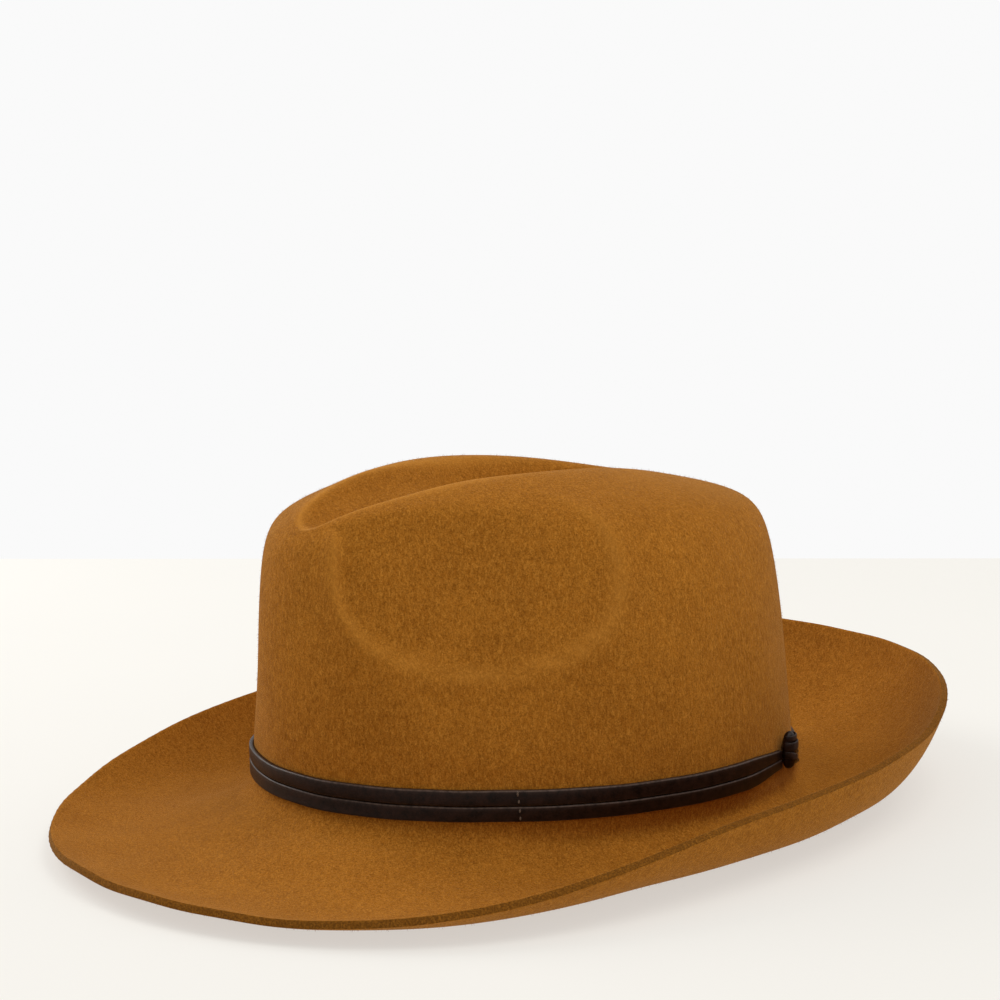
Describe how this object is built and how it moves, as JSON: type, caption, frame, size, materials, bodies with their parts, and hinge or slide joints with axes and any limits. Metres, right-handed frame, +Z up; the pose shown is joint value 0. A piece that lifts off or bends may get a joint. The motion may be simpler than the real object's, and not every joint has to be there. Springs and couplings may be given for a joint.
{
  "type": "fedora hat",
  "caption": "Wide-brim felt fedora with a teardrop crease, pinched front, curled brim, twin leather strap band tied at the side, leather sweatband and satin lining.",
  "frame": {"origin": "on the surface the hat stands on, under the middle of its outline", "axes": "+Z up, the front of the brim towards -Y, the wearer's left towards +X"},
  "size_m": [0.2604, 0.3276, 0.1191],
  "materials": {
    "felt": "short-napped wool felt, mustard brown, matt with a faint streaky nap",
    "band_leather": "dark brown flat leather lace, satin, with lighter worn edges",
    "thread": "waxed dark brown sewing thread",
    "sweatband_leather": "smooth tan-brown roan leather, satin",
    "reed": "translucent off-white plastic filament",
    "tape": "woven cotton tape, dark brown",
    "ribbon": "ribbed ribbon, dark brown, slight sheen",
    "label": "plain woven label, blank, cream",
    "satin": "satin lining, bronze, soft sheen"
  },
  "bodies": {
    "root": {"felt_body": "felt", "band_lower_strap": "band_leather", "band_upper_strap": "band_leather", "band_knot_core": "band_leather", "band_knot_wrap_lower": "band_leather", "band_knot_wrap_upper": "band_leather", "band_knot_twist": "band_leather", "band_tail_lower": "band_leather", "band_tail_upper": "band_leather", "band_tack_left": "thread", "band_tack_right": "thread", "sweatband": "sweatband_leather", "sweatband_reed": "reed", "sweatband_reed_tape": "tape", "sweatband_stitch": "thread", "sweatband_seam_tape": "sweatband_leather", "sweatband_bow": "ribbon", "size_label": "label", "lining_side": "satin", "lining_tip_piping": "ribbon", "lining_tip": "satin"}
  },
  "joints": []
}
